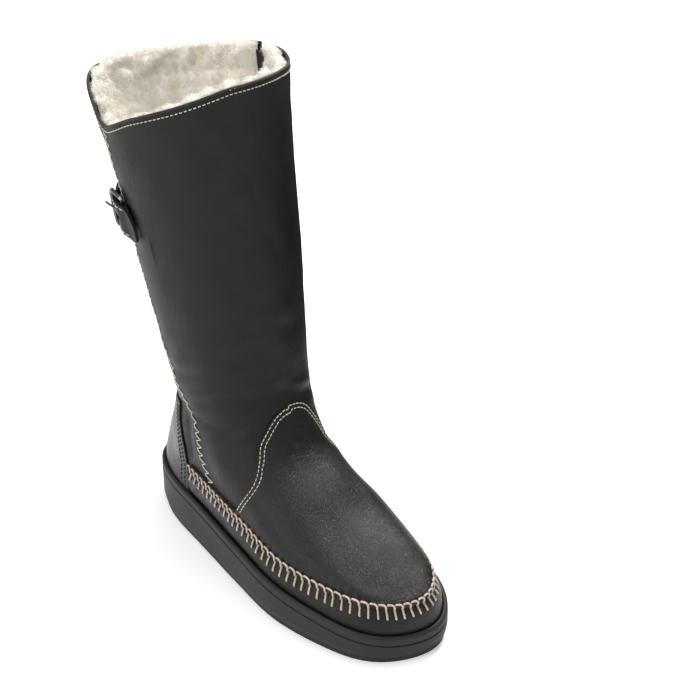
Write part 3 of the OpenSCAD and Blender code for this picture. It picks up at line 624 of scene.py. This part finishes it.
def cloth_material(name, col, light, scale=900):
    mat, nt, sh = node_material(name)
    xyz = coords(nt)
    a = tex(nt, "ShaderNodeTexWave", scale, xyz, bands_direction="Z", Distortion=0.4)
    b = tex(nt, "ShaderNodeTexWave", scale, xyz, bands_direction="Y", Distortion=0.4)
    m = nt.nodes.new("ShaderNodeMath")
    m.operation = "MAXIMUM"
    link(nt, a.outputs["Fac"], m.inputs[0])
    link(nt, b.outputs["Fac"], m.inputs[1])
    link(nt, ramp(nt, m.outputs[0], [(0.2, col), (0.9, light)]), sh.inputs["Base Color"])
    sh.inputs["Roughness"].default_value = 0.8
    sh.inputs["Sheen Weight"].default_value = 0.25
    link(nt, bump(nt, m.outputs[0], 0.4, 0.0002), sh.inputs["Normal"])
    return mat


M_SHAFT = leather_material("leather_shaft", (0.0062, 0.0062, 0.0065), (0.010, 0.010, 0.0103),
                           0.47, 1500, 0.28, 0.0)
M_VAMP = leather_material("leather_vamp", (0.004, 0.004, 0.0042), (0.008, 0.008, 0.0084),
                          0.34, 1150, 0.5, 0.12)
# painted highlight: the folded top edge's leather is greyer than the shaft's, standing in for the light line
# along the fold's top
M_EDGE = leather_material("leather_edge", (0.02, 0.018, 0.016), (0.05, 0.046, 0.04), 0.55, 1300, 0.6, 0.0)
M_RAW = leather_material("leather_raw", (0.028, 0.012, 0.007), (0.075, 0.036, 0.02), 0.75, 900, 0.8, 0.0)
M_WHIP = thread_material("thread_waxed", (0.74, 0.65, 0.52), (0.40, 0.31, 0.22))
M_SEW = thread_material("thread_cream", (0.86, 0.80, 0.68), (0.55, 0.47, 0.36))
M_DARK = thread_material("thread_dark", (0.035, 0.034, 0.033), (0.015, 0.015, 0.015))
M_WOOL = wool_material("shearling")
M_SOLE = rubber_material("sole_rubber")
M_GUN = metal_material("gunmetal", (0.13, 0.13, 0.135), (0.55, 0.55, 0.56), 0.3)
M_ZIPM = metal_material("zip_metal", (0.05, 0.05, 0.055), (0.6, 0.6, 0.6), 0.28)
M_TAPE = cloth_material("zip_tape", (0.008, 0.008, 0.008), (0.022, 0.022, 0.023))
M_TEETH = rubber_material("zip_teeth")
M_BOARD = cloth_material("board", (0.3, 0.24, 0.17), (0.45, 0.37, 0.27), 500)

KEEP = {  # CAD nodes that stay, with the material each takes
    "outsole": M_SOLE, "cupsole": M_SOLE, "foam_filler": M_SOLE, "shank": M_GUN, "insole_board": M_BOARD,
    "heel_stiffener": M_BOARD, "toe_puff": M_BOARD, "footbed": M_WOOL, "lining_foot": M_WOOL,
    "zip_tape_front": M_TAPE, "zip_tape_rear": M_TAPE, "zip_teeth_front": M_TEETH, "zip_teeth_rear": M_TEETH,
    "zip_top_stops": M_ZIPM, "zip_bottom_stop": M_ZIPM, "zip_guard": M_SHAFT, "zip_slider": M_ZIPM,
    "zip_pull": M_ZIPM, "strap": M_SHAFT, "buckle_chape": M_SHAFT,
    "buckle_frame": M_GUN, "buckle_prong": M_GUN}
for key, mat in KEEP.items():
    ob = NODES[key]
    ob.data.materials.clear()
    ob.data.materials.append(mat)
    ob.data.polygons.foreach_set("use_smooth", [True] * len(ob.data.polygons))
    ob.data.set_sharp_from_angle(angle=math.radians(34))

# ---------------------------------------------------------------- leather panels
LIN = np.linspace


def grid(a, b):
    return np.meshgrid(a, b, indexing="ij")


U, V = grid(LIN(-1, 1, 201), LIN(0, 1, 150))
Z = front_z(U, V, 6, -0.2)
A = front_a(U, Z, 0.0)
ob = make("shaft_front_leather", *slab(off(A, Z, -0.2), off(A, Z, -0.2 - LEATHER)), M_SHAFT, "black_leather",
          replaces=["shaft_front"])
bevel(ob, 0.5)

U, V = grid(LIN(0, 1, 201), LIN(0, 1, 150))
YB = ringy(back_b(U, 50.0, 0), 50.0)
ZB = np.where(U < 0.5, mix(58.6, 31, sstep(69, 78, YB)), 31)
Z = back_z(U, V, ZB, -0.2)
B = back_b(U, Z, 0.4)
ob = make("shaft_back_leather", *slab(back_ring(B, Z, -0.2), back_ring(B, Z, -0.2 - LEATHER)), M_SHAFT,
          "black_leather", replaces=["shaft_back"])
bevel(ob, 0.5)

G, F = grid(LIN(0.006, 1, 130), LIN(-90, 90, 181))
ob = make("vamp_leather", *slab(vamp_o(G, F, LEATHER - 0.1), vamp_o(G, F, -0.1)), M_VAMP, "black_leather",
          replaces=["vamp"])
bevel(ob, 0.55)

U, V = grid(LIN(0, 1, 90), LIN(0, 1, 40))
ob = make("counter_leather", *slab(counter_p(U, V, 1.4), counter_p(U, V, 0.0)), M_VAMP, "black_leather",
          replaces=["heel_counter"])
bevel(ob, 0.55)

# backing leather on the inner side; it covers the open slot below the zip and the gap at the vamp's corner
FACING_FOOT, ZIP_FOOT, CORNER_RISE = 36, 61, 18
Y, V = grid(LIN(-14, 62, 60), LIN(0, 1, 26))
wall = skin(1, Y, mix(FACING_FOOT, ZIP_FOOT + CORNER_RISE * (1 - sstep(20, 34, Y)), V))
inward = unit(np.cross(np.gradient(wall, axis=0), np.gradient(wall, axis=1)))
inward = -inward * np.sign(inward[..., :1])
ob = make("zip_foot_facing", *slab(wall + 1.5 * inward, wall + 2.5 * inward), M_SHAFT, "black_leather")


def feather(t, z0):
    p = outline(t, CUP + 0.3)
    return vec(p[..., 0], p[..., 1], sole_z(p[..., 1]) + z0)


def seam_run(t):
    return np.interp(t, SEAM_T, SEAM_S)


def apron_out(t, h):
    f, m = feather(t, 0.3), seam(t) + ridge_p(t) * 1.5
    bulge = 1.9 * 4 * h * (1 - h) + 0.55 * pucker(seam_run(t)) * sstep(0.45, 1.0, h) - 0.25 * sstep(0.5, 1, h)
    bulge = bulge + 0.25 * waves(f + (m - f) * h[..., None], 17, 4) * sstep(0.0, 0.3, h)
    return f + (m - f) * h[..., None] + seam_n(t) * bulge[..., None]


T, H = grid(LIN(APRON_A, APRON_B, 561), LIN(0, 1, 14))
OUT = np.concatenate([feather(T[:, :1], -6), apron_out(T, H)], 1)
INN = OUT - unit(seam_n(T[:, :1]) + np.array([0, 0, 0.3])) * LEATHER
ob = make("apron_leather", *slab(OUT, INN), M_VAMP, "black_leather", replaces=["apron"])

# gathered ridge where the wall meets the vamp
T, W = grid(LIN(APRON_A, APRON_B, 1100), LIN(-8, 188, 15))
PU = pucker(seam_run(T))
HALF = 1.9 + 0.3 * PU
HIGH = 1.5 + 0.7 * PU + 0.25 * waves(seam(T), 9, 5)
ACROSS = 0.35 + HALF * cosd(W) * np.where(W > 90, 1.7, 1.0)
RIDGE = (seam(T) + ridge_p(T) * ACROSS[..., None]
         + ridge_d(T) * (0.5 + HIGH * sind(W))[..., None])
n, m = T.shape
faces = grid_faces(n, m).tolist()
faces += [list(range(m)), [(n - 1) * m + j for j in range(m)][::-1]]
faces += [[i * m, i * m + m - 1, (i + 1) * m + m - 1, (i + 1) * m] for i in range(n - 1)]
make("seam_ridge", RIDGE.reshape(-1, 3), faces, M_VAMP, "black_leather", angle=80)

# raw brown edge of the wall's leather, showing between the loops
T, W = grid(LIN(APRON_A, APRON_B, 1100), LIN(0, 2 * math.pi, 9)[:-1])
RUFF = 0.2 * waves(seam(T), 3.5, 8)
RAW = (seam(T) + ridge_p(T) * (1.55 + (0.95 + RUFF) * np.cos(W))[..., None]
       + ridge_d(T) * (1.35 + 0.4 * pucker(seam_run(T)) + (1.25 + RUFF) * np.sin(W))[..., None])
n, m = T.shape
i, j = np.meshgrid(np.arange(n - 1), np.arange(m), indexing="ij")
q, e2 = (i * m + j).ravel(), (i * m + (j + 1) % m).ravel()
faces = ring_faces(q, e2, n, m)
make("seam_raw_edge", RAW.reshape(-1, 3), faces, M_RAW, "edge_leather", angle=70)

# folded top edge
WS = LIN(float(edge_m(345.0)) - 0.5, float(edge_r(345.0)) + 0.5 - 360, 420)
AS = np.where(WS < -180, WS + 360, WS)
TH = LIN(0, 2 * math.pi, 14, endpoint=False)
HO = -0.85 + 1.1 * np.cos(TH)
HZ = 0.1 + 0.85 * np.sin(TH)
WOB = 0.25 * waves(ring(AS, rim(AS)), 30, 6)
E = off(AS[:, None], rim(AS)[:, None] + HZ[None] + WOB[:, None] - 0.3, HO[None] + 0 * AS[:, None])
n, m = E.shape[:2]
i, j = np.meshgrid(np.arange(n - 1), np.arange(m), indexing="ij")
q, e2 = (i * m + j).ravel(), (i * m + (j + 1) % m).ravel()
faces = ring_faces(q, e2, n, m)
make("top_edge_fold", E.reshape(-1, 3), faces, M_EDGE, "edge_leather", replaces=["edge_fold"], angle=60)

# ---------------------------------------------------------------- shearling


HIDDEN_ROWS = 60             # rows on the face against the leather; the arc over the top comes next
TOP_ROWS = 16                # rows at the top edge where the fibres are thickest
INNER_ROW = HIDDEN_ROWS + 52  # a row on the inner face, to tell which way is inwards
FIBRES = 34000
FRONT_WOOL_FOOT = 128        # lower edge of the front panel's wool, mm above the floor


def pile(name, edges, us, node, seed):
    """U-shaped layer of wool: up the leather's inner face, over the top and down the inside, with fibres"""
    r = np.random.default_rng(seed)
    up = LIN(0, 1, HIDDEN_ROWS)
    arc = LIN(0, math.pi, 13)[1:-1]
    down = LIN(1, 0, 90)
    angle_at, z_bot, z_top = edges(us)
    rows = []
    for k in up:
        rows.append((0 * us - 3.3, mix(z_bot, z_top - 1.2, k)))
    for w in arc:
        rows.append((-6.3 + 3 * math.cos(w) + 0 * us, z_top - 1.2 + 2.6 * math.sin(w)))
    for k in down:
        rows.append((0 * us - 9.3, mix(z_bot, z_top - 1.2, k)))
    O = np.stack([x[0] for x in rows], 1)
    Zg = np.stack([x[1] for x in rows], 1)
    Ag = angle_at(Zg, us[:, None])
    P = off(Ag, Zg, O)
    du = np.gradient(P, axis=0)
    dv = np.gradient(P, axis=1)
    N = unit(np.cross(du, dv))
    k = INNER_ROW
    inside = unit(P[:, k] - off(Ag[:, k], Zg[:, k], O[:, k] + 3))
    if (N[:, k] * inside).sum() < 0:
        N = -N
    free = np.zeros(P.shape[1])
    free[HIDDEN_ROWS:] = 1
    tuft = waves(P, 15, seed + 50) * 1.2 + waves(P, 6.5, seed + 51) * 0.55
    P2 = P + N * (tuft * free[None])[..., None]
    n, m = P.shape[:2]
    faces = grid_faces(n, m).tolist() + [list(range(m)), [(n - 1) * m + j for j in range(m)][::-1]]
    verts = P2.reshape(-1, 3)
    # painted shade: points low in the tufts' hollows get a lower value, so they come out a darker tan
    tone_and_painted_shade = (0.5 + 0.22 * tuft).reshape(-1)
    # fibres
    area = np.linalg.norm(np.cross(du, dv), axis=-1)
    depth = z_top[:, None] - Zg
    weight = area * free[None] * np.exp(-np.maximum(depth - 25, 0) / 60) * (depth < 190)
    weight[:, HIDDEN_ROWS:HIDDEN_ROWS + TOP_ROWS] *= 2.2
    weight = weight / weight.sum()
    count = FIBRES
    pick = r.choice(n * m, count, p=weight.ravel())
    iu, iv = np.divmod(pick, m)
    fu = np.clip(iu + r.uniform(-0.5, 0.5, count), 0, n - 1.001)
    fv = np.clip(iv + r.uniform(-0.5, 0.5, count), HIDDEN_ROWS, m - 1.001)
    i0, j0 = fu.astype(int), fv.astype(int)
    wu, wv = (fu - i0)[:, None], (fv - j0)[:, None]

    def at(X):
        return (X[i0, j0] * (1 - wu) * (1 - wv) + X[i0 + 1, j0] * wu * (1 - wv)
                + X[i0, j0 + 1] * (1 - wu) * wv + X[i0 + 1, j0 + 1] * wu * wv)
    base, nor = at(P2), unit(at(N))
    lean = vec(waves(base, 13, seed + 60), waves(base, 13, seed + 61), waves(base, 13, seed + 62))
    lean = lean * 0.9 + r.normal(size=(count, 3)) * 0.22 + np.array([0, 0, -0.1])
    length = r.uniform(1.3, 3.4, count)[:, None]
    side = unit(np.cross(nor, r.normal(size=(count, 3))))
    wide = r.uniform(0.09, 0.17, count)[:, None]
    mid = base + (unit(nor + lean * 0.35) * 0.55) * length
    end = mid + (unit(nor * 0.55 + lean * 1.1) * 0.5) * length
    base = base - nor * 0.4
    low, high = side * wide, side * wide * 0.8
    blades = np.stack([base - low, base + low, mid + high, mid - high, end], 1)
    b0 = len(verts)
    q = b0 + np.arange(count)[:, None] * 5
    faces += (q + np.array([0, 1, 2, 3])).tolist() + (q + np.array([3, 2, 4])).tolist()
    verts = np.concatenate([verts, blades.reshape(-1, 3)])
    # random tone per fibre, plus painted shade: each fibre runs from darker at its root to light at its tip
    shade = r.uniform(-0.08, 0.12, count)[:, None] + 0.12 * waves(base, 6, seed + 63)[:, None]
    tone_and_painted_shade = np.concatenate([tone_and_painted_shade, (np.array([0.42, 0.42, 0.72, 0.72, 0.95])[None] + shade).ravel()])
    ob = make(name, verts, faces, M_WOOL, "shearling", replaces=[node], closed=False, angle=80)
    layer = ob.data.attributes.new("tone_and_painted_shade", "FLOAT", "POINT")
    layer.data.foreach_set("value", np.clip(tone_and_painted_shade, 0, 1).astype(np.float32))
    return ob


def front_wool_angle(z, w):
    return front_a(w, z, 1.6)


def front_wool(u):
    """angle, lower edge and upper edge of the front panel's wool at u"""
    foot = np.maximum(front_z(u, 0 * u, -3, 1.5), FRONT_WOOL_FOOT)
    return front_wool_angle, foot, front_z(u, 0 * u + 1, -3, -0.8)


def back_wool_angle(z, w):
    b = back_b(w, z, 1.6)
    return np.where(b <= 180, -b, 360 - b)


def back_wool(u):
    """angle, lower edge and upper edge of the rear panel's wool at u"""
    return back_wool_angle, back_z(u, 0 * u, 44 + 0 * u, 1.5), back_z(u, 0 * u + 1, 44 + 0 * u, -1.2)


pile("shearling_front", front_wool, LIN(-1, 1, 190), "lining_front", 11)
pile("shearling_back", back_wool, LIN(0, 1, 190), "lining_back", 23)

# ---------------------------------------------------------------- stitching
# hand-sewn loops over the ridge
TC = np.interp(np.interp(np.arange(WHIPS) + 0.5, COUNT, SEAM_S), SEAM_S, SEAM_T)
JIT = np.random.default_rng(5)
m0, rp, rd, st, sn = seam(TC), ridge_p(TC), ridge_d(TC), seam_t(TC), seam_n(TC)
slant = JIT.normal(0, 0.22, (WHIPS, 1))
HALF_GAP = np.gradient(np.interp(TC, SEAM_T, SEAM_S))[:, None] / 2
TALL = np.linalg.norm(m0 + rp * 1.5 - feather(TC, 0.3), axis=-1)


def WALL(mm):
    """a point on the wall, mm below the seam"""
    return apron_out(TC, 1 - mm / TALL)


PTS = [  # along the top from the last stitch, round the corner and down the wall
    m0 + rp * 0.2 + rd * 2.55 - st * HALF_GAP * 1.9,
    m0 + rp * 0.1 + rd * 2.9 - st * HALF_GAP * 1.3,
    m0 + rp * 0.3 + rd * 3.05 - st * HALF_GAP * 0.7,
    m0 + rp * 1.0 + rd * 3.1 - st * 0.5,
    m0 + rp * 2.1 + rd * 2.7 + st * 0.0,
    m0 + rp * 2.9 + rd * 1.6 + st * slant * 0.4,
    WALL(1.0) + sn * 0.75 + st * slant * 0.7,
    WALL(3.2) + sn * 0.55 + st * slant,
    WALL(5.0) + sn * 0.5 + st * slant * 1.2,
    WALL(6.7) + sn * 0.45 + st * slant * 1.4,
    WALL(7.5) - sn * 0.6 + st * slant * 1.4]
C = np.stack(PTS, 1)
K = LIN(0, C.shape[1] - 1, 31)
k0 = np.clip(K.astype(int), 0, C.shape[1] - 2)
PATH = np.empty((WHIPS, len(K), 3))
for w in range(len(K)):
    i, u = k0[w], K[w] - k0[w]
    a, b, c, d = C[:, max(i - 1, 0)], C[:, i], C[:, i + 1], C[:, min(i + 2, C.shape[1] - 1)]
    PATH[:, w] = 0.5 * (2 * b + (c - a) * u + (2 * a - 5 * b + 4 * c - d) * u * u
                        + (3 * b - a - 3 * c + d) * u ** 3)
make("seam_thread", *tubes(PATH, rd, 0.68, 9, 2.6), M_WHIP, "cream_thread",
     replaces=["whip_stitch"], angle=70)

# double row along the vamp's rear edge
paths, norms = [], []
EF = LIN(-86, 86, 360)
EG, EFF = grid(LIN(0.80, 1, 70), EF)
EP = vamp_s(EG, EFF)
GAP = np.stack([np.linalg.norm(EP[k][:, None] - EP[-1][None], axis=-1).min(1) for k in range(len(EP))])
for dist in (1.5, 4.4):
    g = np.array([np.interp(-dist, -GAP[:, k], EG[:, k]) for k in range(len(EF))])
    line, up = vamp_o(g, EF, LEATHER - 0.1), vamp_o(g, EF, LEATHER + 0.9)
    p, q = stitches(line, unit(up - line), 2.3, 0.8, start=3)
    paths.append(p)
    norms.append(q)
make("vamp_thread", *tubes(np.concatenate(paths), np.concatenate(norms), 0.33, 7), M_SEW, "cream_thread",
     replaces=["vamp_stitch"], angle=70)


def surface_line(a, z, o):
    return off(a, z, o), ringn(a, z)


# zigzag seam on the outer side
zz = np.arange(60.5, 311, 3.05)
aa = -edge_l(zz) + np.where(np.arange(len(zz)) % 2 == 0, -2.3, 2.6) * mix(1, 0.5, sstep(120, 170, zz))
p0, n0 = surface_line(aa, zz, 0 * zz + 0.05)
s0, s1 = p0[:-1], p0[1:]
w = LIN(0.03, 0.97, 7)
paths = s0[:, None] + (s1 - s0)[:, None] * w[None, :, None]
paths = paths + n0[:-1, None] * (0.3 - 0.75 * np.abs(LIN(-1, 1, 7)) ** 4)[None, :, None]
make("zigzag_thread", *tubes(paths, n0[:-1], 0.36, 7), M_SEW, "cream_thread",
     replaces=["zigzag_stitch"], angle=70)

# round the top edge
ws = LIN(float(edge_m(345.0)) - 2, float(edge_r(345.0)) + 2 - 360, 900)
aa = np.where(ws < -180, ws + 360, ws)
line, up = surface_line(aa, rim(aa) - 3.6, 0 * aa)
make("edge_thread", *tubes(*stitches(line, up, 1.9, 1.2, lift=0.4), 0.34, 7), M_SEW, "cream_thread",
     replaces=["edge_stitch"], angle=70)

# beside the zip
paths, norms = [], []
for d in (-9.2, -12, 8.8):
    z = LIN(66, 338, 700)
    line, up = surface_line(angley(zipc(z) + d, z), z, 0 * z)
    p, q = stitches(line, up, 3.4, 1.0)
    paths.append(p)
    norms.append(q)
make("zip_thread", *tubes(np.concatenate(paths), np.concatenate(norms), 0.38, 7), M_SEW, "cream_thread",
     replaces=["zip_stitch"], angle=70)


def strap_p(b, k, o):
    half = np.where(b < 98, 11 * np.sqrt(np.maximum(0.06, 1 - ((98 - b) / 7.6) ** 2)), 11)
    z = look(b, T_SZ) + k * half
    return back_ring(b, z, look(b, T_SH) + o)


paths, norms = [], []
for k in (-0.8, 0.8):
    b = LIN(99, 256, 500)
    line, up = strap_p(b, k, 2.2), strap_p(b, k, 3.2)
    p, q = stitches(line, unit(up - line), 3.0, 1.1)
    paths.append(p)
    norms.append(q)
make("strap_thread", *tubes(np.concatenate(paths), np.concatenate(norms), 0.38, 7), M_SEW, "cream_thread",
     replaces=["strap_stitch"], angle=70)

paths, norms = [], []
for u in (0.022, 0.05, 0.95, 0.978):
    v = LIN(0.12, 0.97, 300)
    line, up = counter_p(0 * v + u, v, 1.4), counter_p(0 * v + u, v, 2.4)
    p, q = stitches(line, unit(up - line), 2.6, 0.9)
    paths.append(p)
    norms.append(q)
u = LIN(0.03, 0.97, 500)
line, up = counter_p(u, 0 * u + 0.965, 1.4), counter_p(u, 0 * u + 0.965, 2.4)
p, q = stitches(line, unit(up - line), 2.6, 0.9)
make("counter_thread", *tubes(np.concatenate(paths + [p]), np.concatenate(norms + [q]), 0.36, 7), M_DARK,
     "dark_thread", replaces=["counter_stitch"], angle=70)

# ---------------------------------------------------------------- stage, light, camera


def stage_mesh(name, verts, faces, mat):
    me = bpy.data.meshes.new(name)
    me.from_pydata(verts, [], faces)
    me.materials.append(mat)
    ob = bpy.data.objects.new(name, me)
    bpy.context.scene.collection.objects.link(ob)
    return ob


floor_mat, nt, sh = node_material("floor")
n = tex(nt, "ShaderNodeTexNoise", 3, coords(nt), Detail=2.0)
pale = ramp(nt, n.outputs["Fac"], [(0.0, (0.90, 0.90, 0.90)), (1.0, (0.93, 0.93, 0.93))])
link(nt, pale, sh.inputs["Base Color"])
sh.inputs["Roughness"].default_value = 0.7
sh.inputs["Emission Color"].default_value = (1, 1, 1, 1)
sh.inputs["Emission Strength"].default_value = 0.32
stage_mesh("floor", [(-9, -9, 0), (9, -9, 0), (9, 9, 0), (-9, 9, 0)], [(0, 1, 2, 3)], floor_mat)

world = bpy.data.worlds.new("studio")
bpy.context.scene.world = world
world.use_nodes = True
world.node_tree.nodes["Background"].inputs["Color"].default_value = (1, 1, 1, 1)
world.node_tree.nodes["Background"].inputs["Strength"].default_value = 0.42


def area_light(name, loc, size, power, target=(0, 0, 0.15)):
    li = bpy.data.lights.new(name, "AREA")
    li.shape = "RECTANGLE"
    li.size, li.size_y = size
    li.energy = power
    ob = bpy.data.objects.new(name, li)
    ob.location = loc
    ob.rotation_euler = (Vector(target) - Vector(loc)).to_track_quat("-Z", "Y").to_euler()
    bpy.context.scene.collection.objects.link(ob)


area_light("key_left", (-1.6, 0.1, 1.2), (0.7, 1.2), 15)
area_light("back_right", (1.15, 0.5, 1.3), (0.5, 0.5), 26)
area_light("top", (0.1, 0.3, 1.9), (1.0, 1.0), 14)
area_light("front", (-0.3, -1.7, 1.5), (1.2, 0.6), 2.5)

# a dark card on the inner side keeps the white floor out of the leather there; no camera sees it
card_mat, nt, sh = node_material("card")
sh.inputs["Base Color"].default_value = (0.01, 0.01, 0.01, 1)
sh.inputs["Roughness"].default_value = 0.8
CARD = [(0.30, -0.30, 0.001), (0.24, 0.25, 0.001), (0.24, 0.25, 0.36), (0.30, -0.30, 0.20)]
card = stage_mesh("card", CARD, [(0, 1, 2, 3)], card_mat)
card.visible_camera = False
card.visible_shadow = False

bpy.context.scene.view_settings.view_transform = "Standard"
cam = bpy.data.cameras.new("camera")
cam.sensor_width = 36
cam.lens = 1487.83 / 700 * 36
cam.clip_start = 0.01
cam_ob = bpy.data.objects.new("camera", cam)
bpy.context.scene.collection.objects.link(cam_ob)
az, el, roll = math.radians(-37.25), math.radians(27.79), math.radians(-0.36)
back = Vector((math.sin(az) * math.cos(el), -math.cos(az) * math.cos(el), math.sin(el)))
right = (-back).cross(Vector((0, 0, 1))).normalized()
up = right.cross(-back)
cx = math.cos(roll) * right + math.sin(roll) * up
cy = -math.sin(roll) * right + math.cos(roll) * up
rot = Matrix((cx, cy, back)).transposed().to_4x4()
cam_ob.matrix_world = Matrix.Translation((-0.49938, -0.74155, 0.6366)) @ rot
bpy.context.scene.camera = cam_ob
